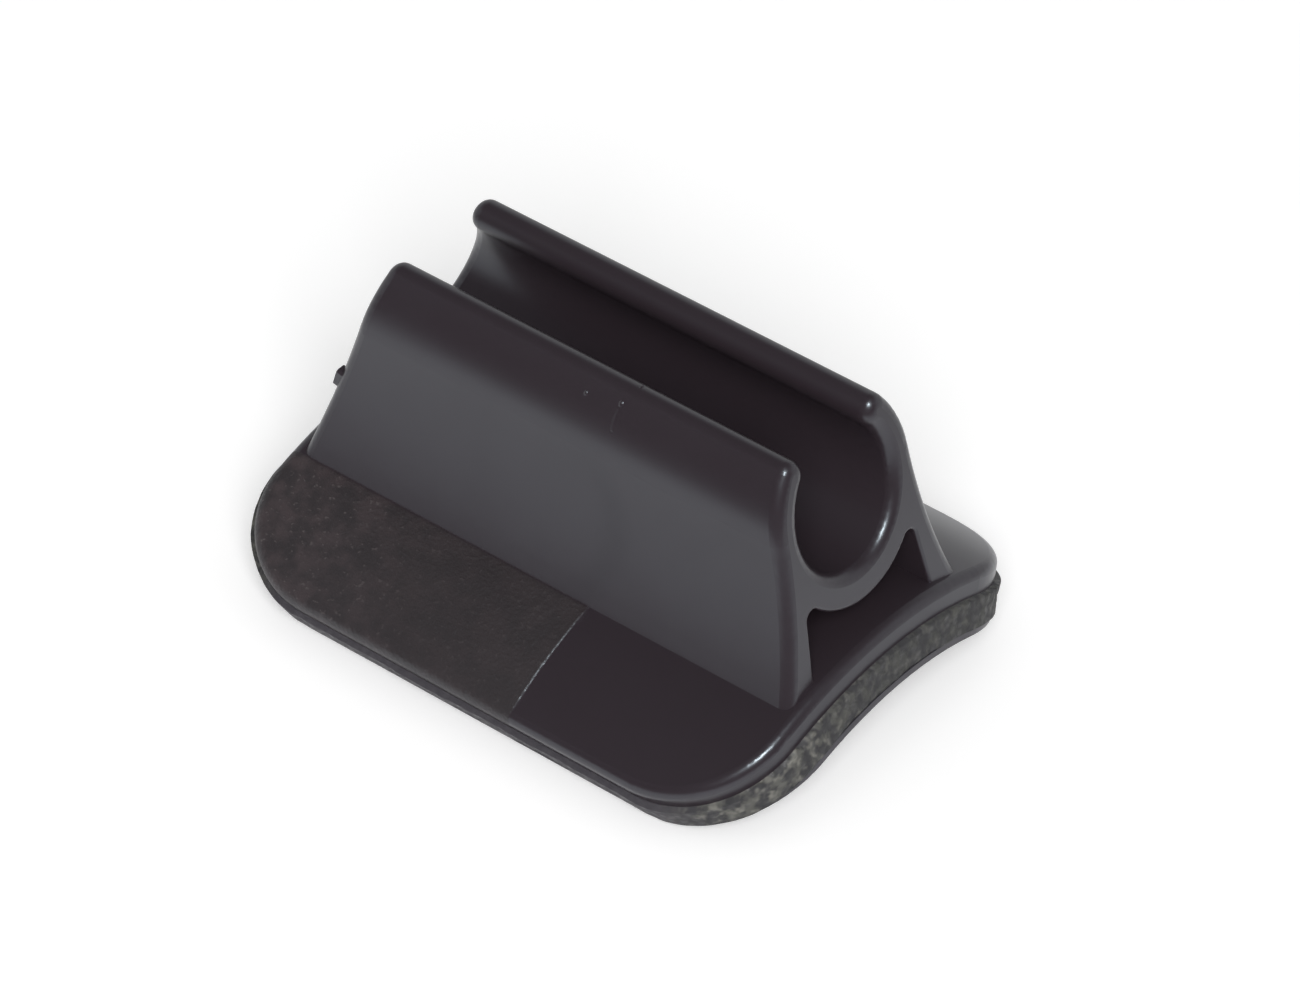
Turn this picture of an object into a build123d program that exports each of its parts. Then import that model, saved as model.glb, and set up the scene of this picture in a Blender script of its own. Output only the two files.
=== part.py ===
"""Adhesive cable clip for a round frame tube.

One black moulding snaps around a cable. Its arched base plate carries a foam adhesive pad, and the
pad's release liner is still on. The cable runs along X, +Z points away from the tube, and the origin
is under the middle of the clip, level with the two long edges that it rests on. Millimetres.
"""

from build123d import *
import os
from math import asin, cos, degrees, radians, sin, sqrt, tan

# What the clip fits
cable_d = 5.0
tube_d = 28.6

# Base layers, from the tube outwards
liner_t = 0.2
foam_t = 1.0
plate_t = 0.8

# Plate, measured over its top surface
plate_l = 21.8
plate_w = 18.3
plate_corner_r = 3.7
plate_edge_r = 0.4

# Extra thickness of the blank that each bent sheet is cut from
blank_margin = 3.0

# Foam pad and liner, cut a little larger than the plate
foam_proud = 0.2
foam_corner_r = 4.1

# Clip jaws
jaw_wall = 1.15
jaw_height = 4.6
lip_angle = 41.5
shoulder_angle = 2.0

# Legs that carry the jaws, measured where they meet the plate and at the bore's height
foot_w = 9.5
foot_l = 21.1
foot_t = 1.3
leg_top_t = 1.0
lobe_r = 0.35

# Sloped ends and their rounded edges
end_slope = 15.0
end_edge_r = 0.45
tunnel_edge_r = 0.12

# Gate vestige on one end of a leg; its place is a share of the leg's face, from the jaws down
gate_out = 0.15
gate_w = 0.45
gate_h = 0.75
gate_place = 0.44
gate_inset = 0.4
gate_edge_r = 0.12

# Radii of the layers about the tube's axis
foam_inner_r = tube_d / 2
foam_outer_r = foam_inner_r + foam_t
liner_inner_r = foam_inner_r - liner_t
plate_inner_r = foam_outer_r
plate_outer_r = plate_inner_r + plate_t

# Each layer's half angle, and its half length at its outer surface
plate_half_angle = asin(plate_w / 2 / plate_outer_r)
foam_half_angle = plate_half_angle + foam_proud / foam_outer_r
spread_per_mm = tan(radians(end_slope))
plate_half_l = plate_l / 2
foam_half_l = plate_half_l + plate_t * spread_per_mm + foam_proud
liner_half_l = foam_half_l + foam_t * spread_per_mm

# Heights, from the long lower edges of the liner
tube_axis_z = -liner_inner_r * cos(foam_half_angle)
plate_top_z = tube_axis_z + plate_outer_r
bore_r = cable_d / 2
bore_z = plate_top_z + jaw_height
jaw_outer_r = bore_r + jaw_wall
lip_path_r = bore_r + jaw_wall / 2
foot_half = foot_w / 2
crease_z = tube_axis_z + sqrt(plate_outer_r**2 - foot_half**2)
jaw_top_z = bore_z + jaw_outer_r
tube_axis = Axis((0, 0, tube_axis_z), (-1, 0, 0))

# Tunnel between the legs: its floor is inside the plate and its walls run up into the jaws
plate_middle_r = plate_outer_r - plate_t / 2
foot_z = tube_axis_z + sqrt(plate_middle_r**2 - foot_half**2)
tunnel_floor_z = foot_z - plate_t
tunnel_half_floor = foot_half - foot_t
tunnel_half_roof = jaw_outer_r - leg_top_t


def around_bore(radius, angle):
    """Returns the section point (Y, Z) at a radius from the bore's axis, angle degrees above level."""
    return (radius * cos(radians(angle)), bore_z + radius * sin(radians(angle)))


def radial_plane(angle):
    """Returns the plane through the tube's axis, angle radians towards -Y, with its y axis outwards."""
    return Plane(origin=(0, 0, tube_axis_z), x_dir=(1, 0, 0), z_dir=(0, -cos(angle), -sin(angle)))


def arched_sheet(inner_r, outer_r, half_length, half_angle, corner_r):
    """Returns a sheet bent around the tube, with sloped ends; half_length is at its outer surface.

    The corners are rounded on a blank that is thicker both ways, and the sheet is cut from it.
    """
    low_r = inner_r - blank_margin
    high_r = outer_r + blank_margin
    low_half = half_length + (outer_r - low_r) * spread_per_mm
    high_half = half_length - blank_margin * spread_per_mm
    with BuildPart() as sheet:
        with BuildSketch(radial_plane(half_angle)):
            with BuildLine():
                Polyline(
                    (-high_half, high_r),
                    (high_half, high_r),
                    (low_half, low_r),
                    (-low_half, low_r),
                    close=True,
                )
            make_face()
        revolve(axis=tube_axis, revolution_arc=2 * degrees(half_angle))
        straight_edges = sheet.edges().filter_by(GeomType.LINE)
        corner_edges = straight_edges.sort_by(lambda edge: abs(edge.center().X * edge.center().Y))[-4:]
        fillet(corner_edges, radius=corner_r)
        with BuildSketch(Plane.YZ):
            with Locations((0, tube_axis_z)):
                Circle(outer_r)
                Circle(inner_r, mode=Mode.SUBTRACT)
        extrude(amount=low_half, both=True, mode=Mode.INTERSECT)
    return sheet.part


def tunnel_half_width(height):
    """Returns half the distance between the tunnel's walls at a height."""
    share = (height - tunnel_floor_z) / (bore_z - tunnel_floor_z)
    return tunnel_half_floor + share * (tunnel_half_roof - tunnel_half_floor)


def is_tunnel_edge(edge):
    """Says whether an end edge belongs to the tunnel, nearer to its wall than to the leg's outer face."""
    middle = edge.center()
    from_bore = sqrt(middle.Y**2 + (middle.Z - bore_z) ** 2)
    from_wall = abs(middle.Y) - tunnel_half_width(middle.Z)
    return middle.Z < bore_z and from_wall < leg_top_t / 2 and from_bore > lip_path_r


def is_rim_edge(edge):
    """Says whether an end edge belongs to the outline that runs up the legs and through the jaws."""
    inside_plate = edge.center().Z < crease_z and edge.bounding_box().size.Y > foot_t / 2
    return not inside_plate and not is_tunnel_edge(edge)


def end_edges(builder):
    """Returns the edges of both sloped end faces of the part being built."""
    flat_faces = builder.faces().filter_by(GeomType.PLANE).sort_by(Axis.X)
    return flat_faces[0].edges() + flat_faces[-1].edges()


# Jaws and legs, one constant section with sloped ends
with BuildPart() as saddle:
    with BuildSketch(Plane.YZ) as section:
        shoulder = around_bore(jaw_outer_r, shoulder_angle)
        with BuildLine():
            leg_face = TangentArc(
                shoulder,
                (foot_half, crease_z),
                tangent=(sin(radians(shoulder_angle)), -cos(radians(shoulder_angle))),
            )
            Line(leg_face @ 1, (foot_half, foot_z))
            mirror(about=Plane.YZ)
            Line(shoulder, (-shoulder[0], shoulder[1]))
            ThreePointArc(
                (-foot_half, foot_z), (0, tube_axis_z + plate_middle_r), (foot_half, foot_z)
            )
        make_face()

        # Tunnel between the legs
        with BuildLine():
            Polyline(
                (-tunnel_half_floor, tunnel_floor_z),
                (tunnel_half_floor, tunnel_floor_z),
                (tunnel_half_roof, bore_z),
                (-tunnel_half_roof, bore_z),
                close=True,
            )
        make_face(mode=Mode.SUBTRACT)

        # Ring of the jaws, its bore and its mouth between two round lips
        with Locations((0, bore_z)):
            Circle(jaw_outer_r)
            Circle(bore_r, mode=Mode.SUBTRACT)
        mouth_y, mouth_z = around_bore(2 * jaw_outer_r, lip_angle)
        with BuildLine():
            Polyline((0, bore_z), (mouth_y, mouth_z), (-mouth_y, mouth_z), close=True)
        make_face(mode=Mode.SUBTRACT)
        lip_y, lip_z = around_bore(lip_path_r, lip_angle)
        with Locations((lip_y, lip_z), (-lip_y, lip_z)):
            Circle(jaw_wall / 2)
        lobe_corners = section.vertices().filter_by(lambda corner: plate_top_z < corner.Y < bore_z)
        fillet(lobe_corners, radius=lobe_r)
    extrude(amount=foot_l, both=True)

    # Side view that slopes both ends
    with BuildSketch(Plane.XZ):
        with BuildLine():
            low_half = foot_l / 2 + (crease_z - tunnel_floor_z) * spread_per_mm
            top_half = foot_l / 2 - (jaw_top_z - crease_z) * spread_per_mm
            Polyline(
                (-low_half, tunnel_floor_z),
                (low_half, tunnel_floor_z),
                (top_half, jaw_top_z),
                (-top_half, jaw_top_z),
                close=True,
            )
        make_face()
    extrude(amount=foot_w, both=True, mode=Mode.INTERSECT)

    # Rounded edges of both end faces
    fillet(end_edges(saddle).filter_by(is_rim_edge), radius=end_edge_r)
    fillet(end_edges(saddle).filter_by(is_tunnel_edge), radius=tunnel_edge_r)

    # Gate vestige near the outer edge of one leg's end
    beside_gate = leg_face @ gate_place
    gate_x = (beside_gate.Y - crease_z) * spread_per_mm - foot_l / 2
    gate_plane = Plane(
        origin=(gate_x, gate_inset - beside_gate.X, beside_gate.Y),
        x_dir=(0, 1, 0),
        z_dir=(-cos(radians(end_slope)), 0, sin(radians(end_slope))),
    )
    with BuildSketch(gate_plane):
        RectangleRounded(gate_w, gate_h, gate_edge_r)
    extrude(amount=gate_out, both=True)

plate = arched_sheet(plate_inner_r, plate_outer_r, plate_half_l, plate_half_angle, plate_corner_r)

# The moulding: plate, jaws and legs in one piece
with BuildPart() as clip_body:
    add(plate)
    plate_top = clip_body.faces().sort_by(Axis.Z)[-1]
    fillet(plate_top.edges(), radius=plate_edge_r)
    add(saddle.part)
clip_body.part.label = "clip_body"

foam_blank = arched_sheet(foam_inner_r, foam_outer_r, foam_half_l, foam_half_angle, foam_corner_r)
with BuildPart() as foam_pad:
    add(foam_blank)
foam_pad.part.label = "foam_pad"

liner_blank = arched_sheet(liner_inner_r, foam_inner_r, liner_half_l, foam_half_angle, foam_corner_r)
with BuildPart() as release_liner:
    add(liner_blank)
release_liner.part.label = "release_liner"

os.makedirs("parts", exist_ok=True)
export_step(clip_body.part, "parts/clip_body.step")
export_step(foam_pad.part, "parts/foam_pad.step")
export_step(release_liner.part, "parts/release_liner.step")

print("bore centre height", round(bore_z, 3))
print("overall height", round(lip_z + jaw_wall / 2, 3))
print("mouth", round(2 * lip_y - jaw_wall, 3))
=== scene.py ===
"""Studio scene of an adhesive cable clip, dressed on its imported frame.

The moulding and the release liner keep their frame meshes and get their finishes here. The foam pad is
built again with the wavy cut edge and open cells of real foam. The mould line and the small marks on the
moulding are thin pieces of their own. The clip's sizes are in millimetres in the fields and in metres
in Blender.
"""

import logging
import math
from collections.abc import Callable, Sequence
from dataclasses import dataclass, field
from enum import Enum

import bpy
from mathutils import Matrix, Vector, noise


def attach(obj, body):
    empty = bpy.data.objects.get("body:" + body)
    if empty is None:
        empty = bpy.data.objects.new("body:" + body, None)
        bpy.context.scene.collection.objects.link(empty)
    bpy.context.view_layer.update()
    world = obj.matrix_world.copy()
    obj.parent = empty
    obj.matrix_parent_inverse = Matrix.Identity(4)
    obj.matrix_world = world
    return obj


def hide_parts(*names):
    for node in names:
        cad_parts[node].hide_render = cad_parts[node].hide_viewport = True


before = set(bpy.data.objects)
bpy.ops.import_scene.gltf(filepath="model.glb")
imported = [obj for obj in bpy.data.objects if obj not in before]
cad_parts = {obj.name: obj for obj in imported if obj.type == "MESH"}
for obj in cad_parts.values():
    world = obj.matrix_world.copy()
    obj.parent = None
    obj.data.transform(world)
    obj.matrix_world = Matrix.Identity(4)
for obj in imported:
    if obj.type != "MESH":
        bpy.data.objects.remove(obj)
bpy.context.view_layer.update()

MM = 0.001
BODY = "root"

# Levels that a cloud pattern mostly stays between
CLOUD_SPAN = (0.3, 0.7)

PHOTO_WIDTH = 1300
log = logging.getLogger("cable_clip")


class NoiseKind(Enum):
    """Patterns that a finish can be broken up with."""

    CLOUDS = "ShaderNodeTexNoise"
    CELLS = "ShaderNodeTexVoronoi"


class MixKind(Enum):
    """What a Mix node mixes: its data type, and the numbers of its two inputs and its output."""

    NUMBERS = ("FLOAT", 2, 3, 0)
    COLOURS = ("RGBA", 6, 7, 2)


class LampRole(Enum):
    """What a lamp does in the studio."""

    KEY = "key"
    FILL = "fill"


@dataclass(frozen=True)
class ClipSizes:
    """Sizes that the part's source gives, in millimetres.

    Attributes:
        tube_r: Radius of the tube that the pad sticks to.
        liner_t: Thickness of the release liner.
        foam_t: Thickness of the foam.
        plate_t: Thickness of the base plate.
        plate_l: Length of the plate's top.
        plate_w: Width of the plate, straight across.
        foot_w: Width over the two legs where they meet the plate.
        foam_proud: How far the pad stands out past the plate.
        foam_corner_r: Corner radius of the pad.
        end_slope: Slope of the ends in degrees.
        cable_r: Radius of the bore.
        jaw_wall: Wall of the jaws.
        jaw_height: Height of the bore's middle above the plate's top.
        lip_angle: Angle of the lips above the bore's middle, in degrees.
    """

    tube_r: float = 14.3
    liner_t: float = 0.2
    foam_t: float = 1.0
    plate_t: float = 0.8
    plate_l: float = 21.8
    plate_w: float = 18.3
    foot_w: float = 9.5
    foam_proud: float = 0.2
    foam_corner_r: float = 4.1
    end_slope: float = 15.0
    cable_r: float = 2.5
    jaw_wall: float = 1.15
    jaw_height: float = 4.6
    lip_angle: float = 41.5

    @property
    def foam_top_r(self) -> float:
        """Radius of the foam's upper face."""
        return self.tube_r + self.foam_t

    @property
    def plate_top_r(self) -> float:
        """Radius of the plate's upper face."""
        return self.foam_top_r + self.plate_t

    @property
    def plate_half_angle(self) -> float:
        """Half the angle that the plate spans about the tube's axis, in radians."""
        return math.asin(self.plate_w / 2 / self.plate_top_r)

    @property
    def foam_half_angle(self) -> float:
        """Half the angle that the pad spans, in radians."""
        return self.plate_half_angle + self.foam_proud / self.foam_top_r

    @property
    def crease_angle(self) -> float:
        """Angle at which a leg meets the plate, in radians."""
        return math.asin(self.foot_w / 2 / self.plate_top_r)

    @property
    def axis_z(self) -> float:
        """Height of the tube's axis."""
        return -(self.tube_r - self.liner_t) * math.cos(self.foam_half_angle)

    def foam_half_l(self, radius: float) -> float:
        """Returns half the pad's length at a distance from the tube's axis."""
        spread = math.tan(math.radians(self.end_slope))
        return self.plate_l / 2 + self.foam_proud + (self.plate_top_r - radius) * spread

    def jaw_face(self, angle: float) -> tuple[float, float, float]:
        """Returns a point of the outer face of the jaw on the +Y side.

        Args:
            angle: Angle that the face's outward normal rises, in degrees.

        Returns:
            Place across, height, and the same angle in radians.
        """
        middle_z = self.axis_z + self.plate_top_r + self.jaw_height
        rise, reach = math.radians(angle), self.cable_r + self.jaw_wall
        if angle <= self.lip_angle:
            return reach * math.cos(rise), middle_z + reach * math.sin(rise), rise
        lip, half_wall = math.radians(self.lip_angle), self.jaw_wall / 2
        lip_r = self.cable_r + half_wall
        across = lip_r * math.cos(lip) + half_wall * math.cos(rise)
        return across, middle_z + lip_r * math.sin(lip) + half_wall * math.sin(rise), rise

    def on_arch(self, x: float, angle: float, radius: float) -> Vector:
        """Returns the point, in metres, at a place along X, an angle towards +Y in radians and a radius."""
        height = self.axis_z + radius * math.cos(angle)
        return Vector((x, radius * math.sin(angle), height)) * MM


class NodeSheet:
    """A node tree with short calls for the nodes that the finishes and the studio share."""

    def __init__(self, tree: bpy.types.NodeTree, place: str = "Object") -> None:
        """Clears a node tree and adds its coordinates.

        Args:
            tree: The node tree.
            place: Which coordinates the sheet works in.
        """
        self.tree = tree
        self.tree.nodes.clear()
        self.place = self.add("ShaderNodeTexCoord").outputs[place]

    def add(self, kind: str) -> bpy.types.Node:
        """Adds a node of a kind and returns it."""
        return self.tree.nodes.new(kind)

    def join(self, source: bpy.types.NodeSocket, target: bpy.types.NodeSocket) -> None:
        """Links two sockets."""
        self.tree.links.new(source, target)

    def feed(self, target: bpy.types.NodeSocket, value: object) -> None:
        """Links or sets an input.

        Args:
            target: The input.
            value: A socket, a number, or a colour of three numbers.
        """
        if isinstance(value, bpy.types.NodeSocket):
            self.join(value, target)
        elif target.type == "RGBA":
            target.default_value = (*value, 1.0)
        else:
            target.default_value = value

    def maths(
        self, action: str, first: object, second: object = 0.0, clamp: bool = False
    ) -> bpy.types.NodeSocket:
        """Adds a Math node.

        Args:
            action: Name of the operation.
            first: A socket or a number.
            second: A socket or a number.
            clamp: Whether the result stays between 0 and 1.

        Returns:
            The result's socket.
        """
        node = self.add("ShaderNodeMath")
        node.operation = action
        node.use_clamp = clamp
        for socket, value in zip(node.inputs, (first, second)):
            self.feed(socket, value)
        return node.outputs[0]

    def vectors(
        self,
        action: str,
        first: bpy.types.NodeSocket,
        second: Sequence[float] = (0.0, 0.0, 0.0),
        gives: str = "Value",
    ) -> bpy.types.NodeSocket:
        """Adds a Vector Math node.

        Args:
            action: Name of the operation.
            first: The vector to work on.
            second: The other vector, where the operation has one.
            gives: Which of the node's outputs holds the result.

        Returns:
            The result's socket.
        """
        node = self.add("ShaderNodeVectorMath")
        node.operation = action
        self.join(first, node.inputs[0])
        node.inputs[1].default_value = second
        return node.outputs[gives]

    def axis(self, name: str) -> bpy.types.NodeSocket:
        """Splits one coordinate off.

        Args:
            name: X, Y or Z.

        Returns:
            The coordinate's socket, in metres for a piece.
        """
        node = self.add("ShaderNodeSeparateXYZ")
        self.join(self.place, node.inputs[0])
        return node.outputs[name]

    def pattern(self, kind: NoiseKind, grain: float, detail: float = 2.0) -> bpy.types.NodeSocket:
        """Adds a pattern in the sheet's coordinates.

        Args:
            kind: Which pattern.
            grain: Size of one grain or cell, in millimetres.
            detail: How many finer layers a cloud pattern has.

        Returns:
            The pattern's value, about 0 to 1.
        """
        node = self.add(kind.value)
        node.inputs["Scale"].default_value = 1 / (grain * MM)
        self.join(self.place, node.inputs["Vector"])
        if kind is NoiseKind.CELLS:
            return node.outputs["Distance"]
        node.inputs["Detail"].default_value = detail
        return node.outputs["Fac"]

    def ramp(
        self, value: bpy.types.NodeSocket, low: float, high: float, start: float = 0.0, end: float = 1.0
    ) -> bpy.types.NodeSocket:
        """Maps a range of values onto another, softly and without leaving it.

        Args:
            value: The socket to map.
            low: Value that gives start.
            high: Value that gives end.
            start: Result at low.
            end: Result at high.

        Returns:
            The mapped socket.
        """
        node = self.add("ShaderNodeMapRange")
        node.interpolation_type = "SMOOTHSTEP"
        for name, number in (("From Min", low), ("From Max", high), ("To Min", start), ("To Max", end)):
            node.inputs[name].default_value = number
        self.join(value, node.inputs["Value"])
        return node.outputs["Result"]

    def blend(
        self,
        share: bpy.types.NodeSocket,
        first: object,
        second: object,
        kind: MixKind = MixKind.COLOURS,
    ) -> bpy.types.NodeSocket:
        """Mixes two colours or numbers.

        Args:
            share: How much of the second one there is.
            first: A socket or a value.
            second: A socket or a value.
            kind: Whether they are colours or numbers.

        Returns:
            The mixed socket.
        """
        data_type, first_input, second_input, output = kind.value
        node = self.add("ShaderNodeMix")
        node.data_type = data_type
        self.join(share, node.inputs[0])
        self.feed(node.inputs[first_input], first)
        self.feed(node.inputs[second_input], second)
        return node.outputs[output]

    def bump(
        self, height: bpy.types.NodeSocket, depth: float, below: bpy.types.NodeSocket | None = None
    ) -> bpy.types.NodeSocket:
        """Adds a bump.

        Args:
            height: Pattern of heights from 0 to 1.
            depth: Height of the relief in millimetres.
            below: Normal of a coarser bump that this one lies on.

        Returns:
            The normal's socket.
        """
        node = self.add("ShaderNodeBump")
        node.inputs["Distance"].default_value = depth * MM
        self.join(height, node.inputs["Height"])
        if below is not None:
            self.join(below, node.inputs["Normal"])
        return node.outputs["Normal"]


class FinishSheet(NodeSheet):
    """The node sheet of a new material, which has one shader."""

    def __init__(self, name: str) -> None:
        """Starts the material.

        Args:
            name: Name of the material.
        """
        self.material = bpy.data.materials.new(name)
        self.material.use_nodes = True
        super().__init__(self.material.node_tree)
        self.shader = self.add("ShaderNodeBsdfPrincipled")
        self.join(self.shader.outputs["BSDF"], self.add("ShaderNodeOutputMaterial").inputs["Surface"])

    def settle(self, **values: object) -> None:
        """Sets uniform values on the shader's own sockets, named with underscores for spaces."""
        for name, value in values.items():
            self.shader.inputs[name.replace("_", " ")].default_value = value


@dataclass(frozen=True)
class MouldedPlastic:
    """Black moulded plastic, polished apart from one grained field on the wings.

    Attributes:
        colour: Colour of the polished skin.
        grained: Colour of the grained field.
        paled: Colour of the field where handling has paled it, towards the -X end and in patches.
        fleck: Colour of the fine light flecks where its grain is scuffed.
        sheen: Tint of what the skin reflects.
        ior: Index of refraction, which sets how strongly the skin reflects.
        roughness: Roughness of the polished skin.
        smudge: How much faint smudges change that roughness either way.
        smudge_size: Size of one smudge, in millimetres.
        wave_size: Size of the skin's slow waves, in millimetres.
        wave_depth: Depth of those waves, in millimetres.
        grain_roughness: Roughness of the grained field.
        grain: Size of one grain, in millimetres.
        grain_depth: Depth of the grain, in millimetres.
        field_edge: Place along X where the grained field ends, in millimetres.
        soft: Half the width over which the field's edges fade, in millimetres.
        pale_from: Place along X where the field starts to pale, in millimetres.
        pale_to: Place along X where it is palest.
        least_pale: Share of the paling that the rest of the field shows.
        patch: Size of one pale patch, in millimetres.
        patch_at: Noise levels between which a pale patch fades in.
        fleck_at: Noise levels between which a fleck fades in.
        flow_x: Centre of the dull curved flow mark on the near leg along X, in millimetres.
        flow_z: Height of that centre.
        flow_r: Radius of the flow mark's curve.
        flow_w: Width of the flow mark.
        flow_roughness: How much rougher the flow mark is.
        flowed: Colour of the flow mark.
    """

    colour: tuple[float, float, float] = (0.0285, 0.0210, 0.0258)
    grained: tuple[float, float, float] = (0.0262, 0.0190, 0.0200)
    paled: tuple[float, float, float] = (0.0455, 0.0315, 0.0330)
    fleck: tuple[float, float, float] = (0.0720, 0.0580, 0.0580)
    sheen: tuple[float, float, float] = (0.80, 0.92, 1.0)
    ior: float = 1.6
    roughness: float = 0.29
    smudge: float = 0.015
    smudge_size: float = 2.4
    wave_size: float = 4.0
    wave_depth: float = 0.008
    grain_roughness: float = 0.5
    grain: float = 0.16
    grain_depth: float = 0.03
    field_edge: float = 2.1
    soft: float = 0.05
    pale_from: float = -2.0
    pale_to: float = -10.0
    least_pale: float = 0.25
    patch: float = 0.8
    patch_at: tuple[float, float] = (0.36, 0.66)
    fleck_at: tuple[float, float] = (0.64, 0.76)
    flow_x: float = -0.3
    flow_z: float = 6.4
    flow_r: float = 2.8
    flow_w: float = 2.0
    flow_roughness: float = 0.04
    flowed: tuple[float, float, float] = (0.0262, 0.0193, 0.0238)

    def on_wings(self, sheet: NodeSheet, sizes: ClipSizes) -> bpy.types.NodeSocket:
        """Masks the grained field: the plate's wings, on one side of the mould line.

        Args:
            sheet: The node tree to add to.
            sizes: The clip's sizes.

        Returns:
            1 on the grained field and 0 elsewhere.
        """
        soft, edge = self.soft * MM, self.field_edge * MM
        behind_line = sheet.ramp(sheet.axis("X"), edge - soft, edge + soft, 1.0, 0.0)
        beside_leg = sizes.foot_w / 2 * MM
        width = sheet.maths("ABSOLUTE", sheet.axis("Y"))
        outside = sheet.ramp(width, beside_leg - soft, beside_leg + soft)
        crease_z = (sizes.axis_z + sizes.plate_top_r * math.cos(sizes.crease_angle)) * MM
        low = sheet.ramp(sheet.axis("Z"), crease_z - soft, crease_z + soft, 1.0, 0.0)
        return sheet.maths("MULTIPLY", sheet.maths("MULTIPLY", behind_line, outside), low)

    def on_flow(self, sheet: NodeSheet, sizes: ClipSizes) -> bpy.types.NodeSocket:
        """Masks the flow mark, a soft curved band that runs up the near leg from the mould line.

        Args:
            sheet: The node tree to add to.
            sizes: The clip's sizes.

        Returns:
            1 along the middle of the mark and 0 elsewhere.
        """
        side_on = sheet.vectors("MULTIPLY", sheet.place, (1.0, 0.0, 1.0), "Vector")
        away = sheet.vectors("DISTANCE", side_on, (self.flow_x * MM, 0.0, self.flow_z * MM))
        aside = sheet.maths("ABSOLUTE", sheet.maths("SUBTRACT", away, self.flow_r * MM))
        band = sheet.ramp(aside, 0.0, self.flow_w / 2 * MM, 1.0, 0.0)
        ahead = sheet.ramp(sheet.axis("X"), self.flow_x * MM, (self.flow_x + self.flow_r) * MM)
        near = sheet.maths("LESS_THAN", sheet.axis("Y"), -sizes.cable_r * MM)
        return sheet.maths("MULTIPLY", sheet.maths("MULTIPLY", band, ahead), near)

    def material(self, sizes: ClipSizes) -> bpy.types.Material:
        """Builds the finish.

        Args:
            sizes: The clip's sizes, which place the grained field and the flow mark.

        Returns:
            The material.
        """
        sheet = FinishSheet("moulded_plastic")
        on_field = self.on_wings(sheet, sizes)
        worn = sheet.ramp(sheet.axis("X"), self.pale_to * MM, self.pale_from * MM, 1.0, self.least_pale)
        patches = sheet.ramp(sheet.pattern(NoiseKind.CLOUDS, self.patch, 3.0), *self.patch_at)
        field_colour = sheet.blend(sheet.maths("MULTIPLY", patches, worn), self.grained, self.paled)
        flecks = sheet.ramp(sheet.pattern(NoiseKind.CLOUDS, self.grain, 1.0), *self.fleck_at)
        field_colour = sheet.blend(sheet.maths("MULTIPLY", flecks, worn), field_colour, self.fleck)
        on_flow = self.on_flow(sheet, sizes)
        skin = sheet.blend(on_flow, self.colour, self.flowed)
        sheet.join(sheet.blend(on_field, skin, field_colour), sheet.shader.inputs["Base Color"])
        smudges = sheet.pattern(NoiseKind.CLOUDS, self.smudge_size)
        least, most = self.roughness - self.smudge, self.roughness + self.smudge
        polished = sheet.ramp(smudges, *CLOUD_SPAN, least, most)
        extra = sheet.maths("MULTIPLY", on_field, self.grain_roughness - self.roughness)
        dull = sheet.maths("ADD", extra, sheet.maths("MULTIPLY", on_flow, self.flow_roughness))
        sheet.join(sheet.maths("ADD", polished, dull), sheet.shader.inputs["Roughness"])
        waves = sheet.bump(sheet.pattern(NoiseKind.CLOUDS, self.wave_size, 0.0), self.wave_depth)
        grains = sheet.maths("MULTIPLY", sheet.pattern(NoiseKind.CLOUDS, self.grain), on_field)
        sheet.join(sheet.bump(grains, self.grain_depth, waves), sheet.shader.inputs["Normal"])
        sheet.settle(IOR=self.ior, Specular_Tint=(*self.sheen, 1.0))
        return sheet.material


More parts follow.
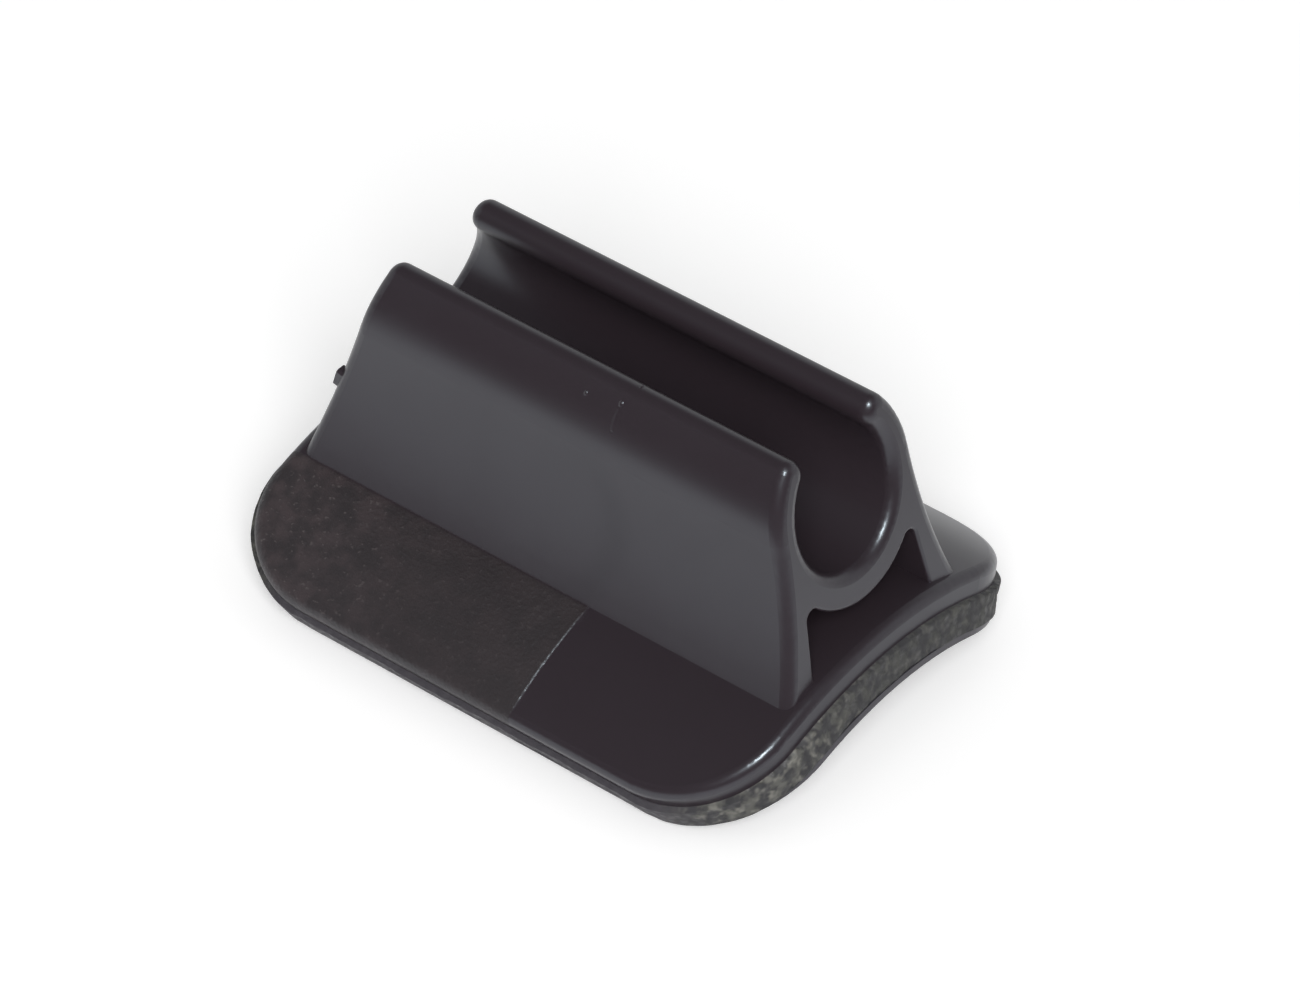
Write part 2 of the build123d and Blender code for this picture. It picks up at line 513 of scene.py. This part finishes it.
@dataclass(frozen=True)
class CutFoam:
    """Dark closed-cell foam, cut through so that its cells catch the light.

    Attributes:
        sides_painted_light: Colour of the long sides: the foam's colour painted lighter, as painted light on
            sides that face down into the clip's shadow.
        colour: Colour between the cells.
        cell_wall: Colour of the cut cell walls.
        lit_wall: Colour of the cut cell walls where painted light brightens them, towards the near side.
        speck: Colour of the brightest specks.
        cell: Size of one cell, in millimetres.
        cell_span: Distances from a cell's middle over which its roughness changes, as shares of a cell.
        strand: Size of one cut cell wall, in millimetres.
        speck_size: Size of one speck, in millimetres.
        specked_from: Distance from the middle at which cut cells start to show, in millimetres.
        specked_to: Distance at which they show in full, at the two ends.
        painted_light_from: Place along Y where painted light starts to brighten the cell walls and specks,
            in millimetres.
        painted_light_to: Place along Y where that painted light is strongest, at the near corner that faces
            the lamps.
        least_painted_light: Share of that painted light at the far end of the edge.
        wall_at: Noise levels between which a cell wall fades in.
        speck_at: Noise levels between which a speck fades in.
        wall_depth: Depth of the cells between their walls, in millimetres.
        speck_depth: Depth of the fine pits, in millimetres.
        roughness: Least and greatest roughness.
    """

    sides_painted_light: tuple[float, float, float] = (0.052, 0.048, 0.056)
    colour: tuple[float, float, float] = (0.031, 0.0305, 0.0335)
    cell_wall: tuple[float, float, float] = (0.033, 0.0335, 0.0325)
    lit_wall: tuple[float, float, float] = (0.084, 0.083, 0.076)
    speck: tuple[float, float, float] = (0.175, 0.171, 0.152)
    cell: float = 0.30
    cell_span: tuple[float, float] = (0.1, 0.8)
    strand: float = 0.45
    speck_size: float = 0.36
    specked_from: float = 8.0
    specked_to: float = 10.2
    painted_light_from: float = 1.0
    painted_light_to: float = -6.5
    least_painted_light: float = 0.25
    wall_at: tuple[float, float] = (0.40, 0.66)
    speck_at: tuple[float, float] = (0.48, 0.78)
    wall_depth: float = 0.035
    speck_depth: float = 0.015
    roughness: tuple[float, float] = (0.5, 0.8)

    def material(self) -> bpy.types.Material:
        """Builds the finish.

        Returns:
            The material.
        """
        sheet = FinishSheet("cut_foam")
        at_end = sheet.maths("ABSOLUTE", sheet.axis("X"))
        at_end = sheet.ramp(at_end, self.specked_from * MM, self.specked_to * MM)
        strands = sheet.ramp(sheet.pattern(NoiseKind.CLOUDS, self.strand), *self.wall_at)
        walls = sheet.maths("MULTIPLY", strands, at_end)
        # Painted highlight: the cell walls and specks grow brighter towards the near side (-Y), where the
        # cut edge faces the lamps.
        near_side_light = sheet.ramp(sheet.axis("Y"), self.painted_light_to * MM, self.painted_light_from * MM, 1.0, self.least_painted_light)
        # Painted light: the long sides get a lighter colour than the ends, to lift them out of the shade
        # that the floor beside them lies in.
        closed = sheet.blend(at_end, self.sides_painted_light, self.colour)
        base = sheet.blend(walls, closed, sheet.blend(near_side_light, self.cell_wall, self.lit_wall))
        fine = sheet.ramp(sheet.pattern(NoiseKind.CLOUDS, self.speck_size, 1.0), *self.speck_at)
        specks = sheet.maths("MULTIPLY", sheet.maths("MULTIPLY", near_side_light, fine), at_end)
        sheet.join(sheet.blend(specks, base, self.speck), sheet.shader.inputs["Base Color"])
        pits = sheet.bump(walls, self.wall_depth)
        sheet.join(sheet.bump(fine, self.speck_depth, pits), sheet.shader.inputs["Normal"])
        rough = sheet.ramp(sheet.pattern(NoiseKind.CELLS, self.cell), *self.cell_span, *self.roughness)
        sheet.join(rough, sheet.shader.inputs["Roughness"])
        return sheet.material


@dataclass(frozen=True)
class LinerFilm:
    """Thin smooth film with a faint haze.

    Attributes:
        colour: Colour of the film.
        haze: Colour of its haze.
        haze_size: Size of one patch of haze, in millimetres.
        haze_at: Noise levels between which the haze fades in.
        roughness: Least and greatest roughness.
        smear_size: Size of one smear in that roughness, in millimetres.
        ripple_size: Size of one ripple, in millimetres.
        ripple_depth: Depth of the ripples, in millimetres.
    """

    colour: tuple[float, float, float] = (0.034, 0.031, 0.040)
    haze: tuple[float, float, float] = (0.046, 0.042, 0.053)
    haze_size: float = 1.5
    haze_at: tuple[float, float] = (0.4, 0.65)
    roughness: tuple[float, float] = (0.28, 0.43)
    smear_size: float = 0.8
    ripple_size: float = 1.0
    ripple_depth: float = 0.02

    def material(self) -> bpy.types.Material:
        """Builds the finish.

        Returns:
            The material.
        """
        sheet = FinishSheet("liner_film")
        haze = sheet.ramp(sheet.pattern(NoiseKind.CLOUDS, self.haze_size, 3.0), *self.haze_at)
        sheet.join(sheet.blend(haze, self.colour, self.haze), sheet.shader.inputs["Base Color"])
        smears = sheet.pattern(NoiseKind.CLOUDS, self.smear_size)
        sheet.join(sheet.ramp(smears, *CLOUD_SPAN, *self.roughness), sheet.shader.inputs["Roughness"])
        ripples = sheet.pattern(NoiseKind.CLOUDS, self.ripple_size, 1.0)
        sheet.join(sheet.bump(ripples, self.ripple_depth), sheet.shader.inputs["Normal"])
        return sheet.material


def mesh_object(name: str, points: Sequence[Vector], faces: Sequence[Sequence[int]]) -> bpy.types.Object:
    """Makes a smooth mesh object and links it to the scene.

    Args:
        name: Name of the object.
        points: Vertex positions in metres.
        faces: Vertex numbers of each face.

    Returns:
        The object.
    """
    mesh = bpy.data.meshes.new(name)
    mesh.from_pydata([tuple(point) for point in points], [], [tuple(face) for face in faces])
    mesh.validate()
    mesh.shade_smooth()
    made = bpy.data.objects.new(name, mesh)
    bpy.context.scene.collection.objects.link(made)
    return made


def ring_faces(first: int, second: int, count: int) -> list[tuple[int, int, int, int]]:
    """Returns the quads between two closed rings of count vertices, numbered from first and second."""
    return [(first + i, first + (i + 1) % count, second + (i + 1) % count, second + i) for i in range(count)]


def dress(piece: bpy.types.Object, material: bpy.types.Material) -> None:
    """Gives every material slot of a piece one material.

    Args:
        piece: The piece.
        material: The material.
    """
    slots = piece.data.materials
    if len(slots) == 0:
        slots.append(material)
    for number in range(len(slots)):
        slots[number] = material


@dataclass(frozen=True)
class Station:
    """One station along a fine bead.

    Attributes:
        centre: Point on the surface, in millimetres.
        across: Direction across the bead, along the surface.
        out: Direction out of the surface.
    """

    centre: Vector
    across: Vector
    out: Vector


@dataclass(frozen=True)
class JawMark:
    """A fine raised mark that runs up the outer face of the near jaw.

    Attributes:
        name: Name of the piece.
        x: Place along X, in millimetres.
        low: Angle on the jaw's face at its lower end, in degrees.
        high: Angle at its upper end.
        width: Width in millimetres.
        height: Height in millimetres.
        ends: Share of its length over which each end rises.
        steps: Steps along it.
    """

    name: str
    x: float
    low: float
    high: float
    width: float
    height: float
    ends: float = 0.4
    steps: int = 10


@dataclass(frozen=True)
class JawPip:
    """A small pip on the outer face of the near jaw.

    Attributes:
        name: Name of the piece.
        x: Place along X, in millimetres.
        angle: Angle on the jaw's face, in degrees.
        size: Width in millimetres.
    """

    name: str
    x: float
    angle: float
    size: float


@dataclass
class ClipBody:
    """The black moulding, with the mould line and the small marks on its near side.

    Attributes:
        sizes: The clip's sizes.
        finish: The plastic.
        line_x: Place of the mould line along X, in millimetres.
        line_w: Width of the mould line on the wing.
        line_h: Height of the mould line on the wing.
        line_bow: How far the mould line bows towards -X.
        line_end: How far the mould line stops short of the plate's edge.
        line_rise: Share of the mould line over which each end rises.
        steps: Steps along the mould line.
        section: Points round a bead.
        sunk: Share of a bead's height that its edges lie below the surface.
        tip: Share of a bead's width that is left at its ends.
        ticks: The ticks where the mould line crosses the jaw and the lip.
        pips: The pips on the jaw.
        pip_rise: Height of a pip as a share of its width.
    """

    sizes: ClipSizes
    finish: MouldedPlastic = field(default_factory=MouldedPlastic)
    line_x: float = 2.1
    line_w: float = 0.34
    line_h: float = 0.022
    line_bow: float = 0.10
    line_end: float = 0.4
    line_rise: float = 0.1
    steps: int = 48
    section: int = 24
    sunk: float = 0.15
    tip: float = 0.3
    ticks: tuple[JawMark, ...] = (
        JawMark("shoulder_tick", 1.8, 20.0, 34.0, 0.22, 0.012),
        JawMark("lip_tick", line_x, 84.0, 124.0, 0.14, 0.03),
    )
    pips: tuple[JawPip, ...] = (
        JawPip("jaw_pip_left", 0.42, 33.0, 0.22),
        JawPip("jaw_pip_right", 1.80, 36.5, 0.26),
    )
    pip_rise: float = 0.2

    def near_side(self, x: float, across: float, height: float, rise: float) -> Station:
        """Returns the station on the near side that mirrors a point of the +Y side's face."""
        out = Vector((0.0, -math.cos(rise), math.sin(rise)))
        return Station(Vector((x, -across, height)), Vector((1.0, 0.0, 0.0)), out)

    def bead(
        self, name: str, path: Sequence[Station], width: float, height: float, ends: float
    ) -> bpy.types.Object:
        """Builds a thin raised bead along a path of stations, with ends that sink into the surface.

        Args:
            name: Name of the piece.
            path: The stations.
            width: Width in millimetres.
            height: Height in millimetres.
            ends: Share of the path over which each end rises.

        Returns:
            The bead.
        """
        last = len(path) - 1
        points: list[Vector] = []
        for number, station in enumerate(path):
            share = number / last
            swell = math.sin(math.pi / 2 * min(1.0, min(share, 1 - share) / ends))
            for corner in range(self.section):
                turn = 2 * math.pi * corner / self.section
                aside = math.cos(turn) * width / 2 * (self.tip + (1 - self.tip) * swell)
                crown = (1 + self.sunk) * math.cos(math.pi / 2 * math.cos(turn)) ** 2 - self.sunk
                above = height * swell * (crown if turn <= math.pi else -2 * self.sunk)
                points.append((station.centre + station.across * aside + station.out * above) * MM)
        faces: list[Sequence[int]] = []
        for number in range(last):
            faces += ring_faces(number * self.section, (number + 1) * self.section, self.section)
        faces.append(tuple(range(self.section - 1, -1, -1)))
        faces.append(tuple(range(last * self.section, (last + 1) * self.section)))
        return mesh_object(name, points, faces)

    def mould_line(self) -> bpy.types.Object:
        """Builds the mould line across the near wing.

        Returns:
            The mould line.
        """
        start = -self.sizes.crease_angle
        end = self.line_end / self.sizes.plate_top_r - self.sizes.plate_half_angle
        path: list[Station] = []
        for step in range(self.steps + 1):
            share = step / self.steps
            angle = start + (end - start) * share
            bow = self.line_bow * math.sin(math.pi * share)
            centre = self.sizes.on_arch(self.line_x - bow, angle, self.sizes.plate_top_r) / MM
            out = Vector((0.0, math.sin(angle), math.cos(angle)))
            path.append(Station(centre, Vector((1.0, 0.0, 0.0)), out))
        return self.bead("mould_line", path, self.line_w, self.line_h, self.line_rise)

    def jaw_bead(self, mark: JawMark) -> bpy.types.Object:
        """Builds a mark on the near jaw.

        Args:
            mark: The mark.

        Returns:
            The mark's bead.
        """
        rise = (mark.high - mark.low) / mark.steps
        turns = [mark.low + rise * step for step in range(mark.steps + 1)]
        path = [self.near_side(mark.x, *self.sizes.jaw_face(turn)) for turn in turns]
        return self.bead(mark.name, path, mark.width, mark.height, mark.ends)

    def pip_bead(self, pip: JawPip) -> bpy.types.Object:
        """Builds a pip as a mark that is as long as it is wide.

        Args:
            pip: The pip.

        Returns:
            The pip's bead.
        """
        half = math.degrees(pip.size / 2 / (self.sizes.cable_r + self.sizes.jaw_wall))
        low, high, height = pip.angle - half, pip.angle + half, pip.size * self.pip_rise
        return self.jaw_bead(JawMark(pip.name, pip.x, low, high, pip.size, height, ends=0.5, steps=8))

    def build(self) -> list[bpy.types.Object]:
        """Dresses the moulding and adds its fine pieces.

        Returns:
            The pieces that show.
        """
        plastic = self.finish.material(self.sizes)
        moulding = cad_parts["clip_body"]
        dress(moulding, plastic)
        marks = [self.mould_line()]
        marks += [self.jaw_bead(tick) for tick in self.ticks]
        marks += [self.pip_bead(pip) for pip in self.pips]
        for mark in marks:
            dress(mark, plastic)
            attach(mark, BODY)
        return [moulding, *marks]


@dataclass(frozen=True)
class Unevenness:
    """Smooth noise that the cut edge follows.

    Attributes:
        rate: How quickly it changes along the edge, per millimetre.
        through: How much it changes from the top of the pad to its bottom.
        shift: Where in the noise it starts.
    """

    rate: float
    through: float
    shift: float

    def at(self, x: float, w: float, share: float) -> float:
        """Returns the noise, about -1 to 1, at a place along X, along the arc and through the pad."""
        return noise.noise(Vector((x * self.rate, w * self.rate, share * self.through + self.shift)))


@dataclass
class FoamPad:
    """The foam pad with its die-cut edge.

    Attributes:
        sizes: The clip's sizes.
        finish: The foam.
        around: Vertices round the edge.
        through: Rings through the thickness.
        cap_rings: Rings from the edge to the middle of each face.
        wave: Height of the slow waves of the cut, in millimetres.
        pit: Depth of the open cells, in millimetres.
        side_pits: Share of that depth on the two long sides.
        slow: The slow waves.
        quick: The shorter waves, half as high.
        cells: The open cells.
        fine: The finer cells, half as deep.
    """

    sizes: ClipSizes
    finish: CutFoam = field(default_factory=CutFoam)
    around: int = 760
    through: int = 11
    cap_rings: int = 9
    wave: float = 0.05
    pit: float = 0.07
    side_pits: float = 0.3
    slow: Unevenness = Unevenness(0.45, 0.6, 3.1)
    quick: Unevenness = Unevenness(1.6, 1.2, 7.7)
    cells: Unevenness = Unevenness(5.5, 5.0, 0.0)
    fine: Unevenness = Unevenness(11.0, 10.0, 2.0)

    def outline(self, radius: float) -> list[tuple[float, float, float, float]]:
        """Lays out the pad's edge at one radius.

        Args:
            radius: Distance from the tube's axis, in millimetres.

        Returns:
            Place along X, place along the arc, and the outward direction, for each vertex.
        """
        half_l = self.sizes.foam_half_l(radius)
        half_w = self.sizes.foam_half_angle * radius
        corner = self.sizes.foam_corner_r
        straight_l, straight_w = half_l - corner, half_w - corner
        bend = math.pi / 2 * corner

        # Each run starts at the middle of one side, goes round a corner and ends at the middle of the next
        runs = ((1, 1), (-1, 1), (-1, -1), (1, -1))
        total = 4 * (straight_l + straight_w + bend)
        found: list[tuple[float, float, float, float]] = []
        for number in range(self.around):
            along = total * number / self.around
            for index, (side_x, side_w) in enumerate(runs):
                first = straight_w if index % 2 == 0 else straight_l
                second = straight_l if index % 2 == 0 else straight_w
                if along > first + bend + second:
                    along -= first + bend + second
                    continue
                start_turn = index * math.pi / 2
                centre_x, centre_w = side_x * straight_l, side_w * straight_w
                turn = start_turn + min(max(along - first, 0.0), bend) / corner
                x, w = centre_x + corner * math.cos(turn), centre_w + corner * math.sin(turn)
                before, after = max(first - along, 0.0), max(along - first - bend, 0.0)
                x += before * math.sin(start_turn) - after * math.cos(start_turn)
                w += -before * math.cos(start_turn) - after * math.sin(start_turn)
                found.append((x, w, math.cos(turn), math.sin(turn)))
                break
        return found

    def cut(self, x: float, w: float, share: float, out_x: float) -> float:
        """Says how far the cut edge departs from a straight one.

        Args:
            x: Place along X, in millimetres.
            w: Place along the arc, in millimetres.
            share: Place through the thickness, 0 at the top and 1 at the bottom.
            out_x: How far the edge faces along X there, from -1 to 1.

        Returns:
            The offset outwards, in millimetres.
        """
        waves = self.slow.at(x, w, share) + self.quick.at(x, w, share) / 2
        cells = max(0.0, self.cells.at(x, w, share)) + max(0.0, self.fine.at(x, w, share)) / 2
        facing = self.side_pits + (1 - self.side_pits) * abs(out_x)
        return self.wave * waves - self.pit * math.sin(math.pi * share) * cells * facing

    def ring(self, radius: float, share: float, shrink: float) -> list[Vector]:
        """Lays out one ring of vertices round the pad.

        Args:
            radius: Distance from the tube's axis, in millimetres.
            share: Place through the thickness, 0 at the top and 1 at the bottom.
            shrink: Size of the ring as a share of the pad's outline.

        Returns:
            The ring's points, in metres.
        """
        points: list[Vector] = []
        for x, w, out_x, out_w in self.outline(radius):
            offset = self.cut(x, w, share, out_x)
            place_x, place_w = (x + offset * out_x) * shrink, (w + offset * out_w) * shrink
            points.append(self.sizes.on_arch(place_x, place_w / radius, radius))
        return points

    def build(self) -> list[bpy.types.Object]:
        """Builds the pad.

        Returns:
            The pad, in a list.
        """
        top_r, low_r = self.sizes.foam_top_r, self.sizes.tube_r
        points: list[Vector] = []
        faces: list[Sequence[int]] = []
        for ring in range(self.cap_rings - 1):
            points += self.ring(top_r, 0.0, (ring + 1) / self.cap_rings)
        for ring in range(self.through):
            share = ring / (self.through - 1)
            points += self.ring(top_r + (low_r - top_r) * share, share, 1.0)
        for ring in range(self.cap_rings - 1, 0, -1):
            points += self.ring(low_r, 1.0, ring / self.cap_rings)
        rings = len(points) // self.around
        for ring in range(rings - 1):
            faces += ring_faces(ring * self.around, (ring + 1) * self.around, self.around)
        for radius, first, flip in ((top_r, 0, True), (low_r, (rings - 1) * self.around, False)):
            centre = len(points)
            points.append(self.sizes.on_arch(0.0, 0.0, radius))
            for i in range(self.around):
                pair = (first + i, first + (i + 1) % self.around)
                faces.append((centre, *(pair if not flip else pair[::-1])))
        pad = mesh_object("foam_pad_cut", points, faces)
        dress(pad, self.finish.material())
        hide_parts("foam_pad")
        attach(pad, BODY)
        return [pad]


@dataclass
class ReleaseLiner:
    """The film under the foam.

    Attributes:
        finish: The film.
    """

    finish: LinerFilm = field(default_factory=LinerFilm)

    def build(self) -> list[bpy.types.Object]:
        """Dresses the liner.

        Returns:
            The liner, in a list.
        """
        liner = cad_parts["release_liner"]
        dress(liner, self.finish.material())
        return [liner]


@dataclass(frozen=True)
class StudioCamera:
    """The camera, at the photograph's place.

    Attributes:
        azimuth: Angle round the clip, in degrees.
        elevation: Angle above the floor, in degrees.
        roll: Turn about the line of sight, in degrees.
        distance: Distance from the aim, in millimetres.
        focal_px: Focal length in pixels of the photograph.
        sensor_w: Width of the sensor, in millimetres.
        aim_z: Height of the aim, in millimetres.
        aside_px: Where the aim stands right of the picture's middle, in pixels.
        below_px: Where the aim stands below the picture's middle, in pixels.
    """

    azimuth: float = 36.872
    elevation: float = 39.780
    roll: float = 2.0777
    distance: float = 230.619
    focal_px: float = 6766.09
    sensor_w: float = 36.0
    aim_z: float = 4.445
    aside_px: float = -22.672
    below_px: float = -1.120

    def build(self) -> bpy.types.Object:
        """Makes the camera and gives it to the scene.

        Returns:
            The camera.
        """
        a, e, r = (math.radians(value) for value in (self.azimuth, self.elevation, self.roll))
        back = Vector((math.sin(a) * math.cos(e), -math.cos(a) * math.cos(e), math.sin(e)))
        level = Vector((math.cos(a), math.sin(a), 0.0))
        upright = back.cross(level)
        right = level * math.cos(r) + upright * math.sin(r)
        up = upright * math.cos(r) - level * math.sin(r)
        place = (back * self.distance + Vector((0, 0, self.aim_z))) * MM
        towards = right * (self.aside_px / self.focal_px) - up * (self.below_px / self.focal_px)
        back = (back + towards).normalized()
        up = back.cross(right).normalized()
        right = up.cross(back)
        data = bpy.data.cameras.new("studio_camera")
        data.sensor_width = self.sensor_w
        data.lens = data.sensor_width * self.focal_px / PHOTO_WIDTH
        data.clip_start, data.clip_end = 0.01, 100.0
        camera = bpy.data.objects.new("studio_camera", data)
        turn = Matrix((right, up, back)).transposed().to_4x4()
        camera.matrix_world = Matrix.Translation(place) @ turn
        bpy.context.scene.collection.objects.link(camera)
        bpy.context.scene.camera = camera
        return camera


@dataclass(frozen=True)
class Lamp:
    """A soft lamp.

    Attributes:
        role: What the lamp does.
        direction: Direction from the clip to the lamp.
        distance: Distance from the clip, in metres.
        size: Width of the lamp, in metres.
        power: Power in watts.
        lights: Whether the lamp lights surfaces, and isn't only mirrored by them.
        mirrored: Whether polished surfaces show the lamp.
    """

    role: LampRole
    direction: tuple[float, float, float]
    distance: float
    size: float
    power: float
    lights: bool = True
    mirrored: bool = True

    def build(self) -> bpy.types.Object:
        """Makes the lamp, aimed at the clip.

        Returns:
            The lamp.
        """
        data = bpy.data.lights.new(f"{self.role.value}_lamp", "AREA")
        data.shape = "DISK"
        data.size = self.size
        data.energy = self.power
        lamp = bpy.data.objects.new(data.name, data)
        towards = Vector(self.direction).normalized()
        lamp.location = towards * self.distance
        lamp.rotation_mode = "QUATERNION"
        lamp.rotation_quaternion = towards.to_track_quat("Z", "Y")
        lamp.visible_diffuse = self.lights
        lamp.visible_glossy = self.mirrored
        lamp.visible_camera = False
        bpy.context.scene.collection.objects.link(lamp)
        return lamp


@dataclass
class Studio:
    """Floor, surroundings, lamps and camera.

    Attributes:
        floor_half: Half the floor's width, in metres.
        floor_colour: The floor's own colour.
        floor_lift: Light added to the floor for every ray apart from those that light the clip.
        dim_from: Distance from the clip at which reflections start to show painted shade on the floor, in
            millimetres.
        dim_to: Distance at which that painted shade is full.
        fade_to: Share of the floor's brightness that the painted shade leaves there on every side.
        dim_side: Direction of the side where the painted shade is deeper, the camera's side, along X and Y.
        dim_share: Share that is left of that on this side.
        ambient: Level of the surroundings as they light the clip.
        room: Level of the dark room behind the camera and overhead, as reflections show it.
        behind: Level of the pale backdrop, as reflections show it.
        overhead: Sines of the heights between which the backdrop gives way to the dark room.
        backdrop: Direction of the pale backdrop, along X and Y.
        backdrop_edge: Cosines of the angles from that direction between which the room turns pale.
        camera: The camera.
        lamps: The lamps.
    """

    floor_half: float = 3.0
    floor_colour: tuple[float, float, float] = (0.86, 0.86, 0.86)
    floor_lift: float = 0.28
    dim_from: float = 20.0
    dim_to: float = 46.0
    fade_to: float = 0.60
    dim_side: tuple[float, float] = (0.32, -0.95)
    dim_share: float = 0.2
    ambient: float = 0.52
    room: float = 0.05
    behind: float = 0.79
    overhead: tuple[float, float] = (0.46, 0.76)
    backdrop: tuple[float, float] = (-0.6, 0.8)
    backdrop_edge: tuple[float, float] = (-0.35, 0.10)
    camera: StudioCamera = field(default_factory=StudioCamera)
    lamps: tuple[Lamp, ...] = (
        Lamp(LampRole.KEY, (0.52, -0.26, 0.81), 0.6, 0.09, 2.6, lights=False),
        Lamp(LampRole.FILL, (0.50, -0.60, 0.63), 0.9, 0.5, 6.7, mirrored=False),
    )

    def floor(self) -> bpy.types.Object:
        """Makes the pale floor, which keeps the clip's shadow.

        Returns:
            The floor.
        """
        half = self.floor_half
        corners = [Vector((x * half, y * half, 0.0)) for x, y in ((-1, -1), (1, -1), (1, 1), (-1, 1))]
        ground = mesh_object("studio_floor", corners, [(0, 1, 2, 3)])
        sheet = FinishSheet("pale_floor")
        sheet.settle(Roughness=1.0, Specular_IOR_Level=0.0, Emission_Color=(1.0, 1.0, 1.0, 1.0))
        path = sheet.add("ShaderNodeLightPath").outputs
        seen = sheet.maths("ADD", path["Is Camera Ray"], path["Is Glossy Ray"])
        seen = sheet.maths("ADD", seen, path["Is Transmission Ray"], clamp=True)
        # Painted shade for reflections only: the floor darkens away from the clip, and most of all on the
        # camera's side.
        aside = sheet.vectors("DOT_PRODUCT", sheet.place, (*self.dim_side, 0.0))
        side = sheet.ramp(aside, self.dim_from * MM, self.dim_to * MM, 1.0, self.dim_share)
        away = sheet.vectors("LENGTH", sheet.place)
        fade = sheet.ramp(away, self.dim_from * MM, self.dim_to * MM, 1.0, self.fade_to)
        lost = sheet.maths("SUBTRACT", 1.0, sheet.maths("MULTIPLY", side, fade))
        level = sheet.maths("SUBTRACT", 1.0, sheet.maths("MULTIPLY", lost, path["Is Glossy Ray"]))
        sheet.join(sheet.blend(level, (0.0, 0.0, 0.0), self.floor_colour), sheet.shader.inputs["Base Color"])
        lift = sheet.maths("MULTIPLY", sheet.maths("MULTIPLY", seen, self.floor_lift), level)
        sheet.join(lift, sheet.shader.inputs["Emission Strength"])
        dress(ground, sheet.material)
        return ground

    def surroundings(self) -> None:
        """Makes what reflections show round the clip, a pale backdrop in a dark room, and its soft light."""
        world = bpy.data.worlds.new("studio")
        bpy.context.scene.world = world
        world.use_nodes = True
        sheet = NodeSheet(world.node_tree, "Generated")
        back = sheet.add("ShaderNodeBackground")
        sheet.join(back.outputs[0], sheet.add("ShaderNodeOutputWorld").inputs["Surface"])
        height = sheet.vectors("DOT_PRODUCT", sheet.place, (0.0, 0.0, 1.0))
        towards = sheet.vectors("DOT_PRODUCT", sheet.place, (*self.backdrop, 0.0))
        below = sheet.ramp(height, *self.overhead, 1.0, 0.0)
        pale = sheet.maths("MULTIPLY", below, sheet.ramp(towards, *self.backdrop_edge))
        shown = sheet.blend(pale, self.room, self.behind, MixKind.NUMBERS)
        path = sheet.add("ShaderNodeLightPath").outputs
        level = sheet.blend(path["Is Glossy Ray"], self.ambient, shown, MixKind.NUMBERS)
        for ray in ("Is Transmission Ray", "Is Camera Ray"):
            level = sheet.blend(path[ray], level, 1.0, MixKind.NUMBERS)
        sheet.join(level, back.inputs["Strength"])

    def build(self) -> None:
        """Makes the whole studio."""
        bpy.context.scene.view_settings.view_transform = "Standard"
        self.camera.build()
        self.floor()
        self.surroundings()
        for lamp in self.lamps:
            lamp.build()


def report(name: str, pieces: Sequence[bpy.types.Object]) -> None:
    """Logs what a sub-assembly made."""
    for piece in pieces:
        log.info("%s: %s, %d vertices", name, piece.name, len(piece.data.vertices))


def main() -> None:
    """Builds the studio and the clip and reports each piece."""
    logging.basicConfig(level=logging.INFO, format="%(name)s %(message)s")
    Studio().build()
    sizes = ClipSizes()
    makers: dict[str, Callable[[], list[bpy.types.Object]]] = {
        "clip body": ClipBody(sizes).build,
        "foam pad": FoamPad(sizes).build,
        "release liner": ReleaseLiner().build,
    }
    for name, make in makers.items():
        report(name, make())


if __name__ == "__main__":
    main()
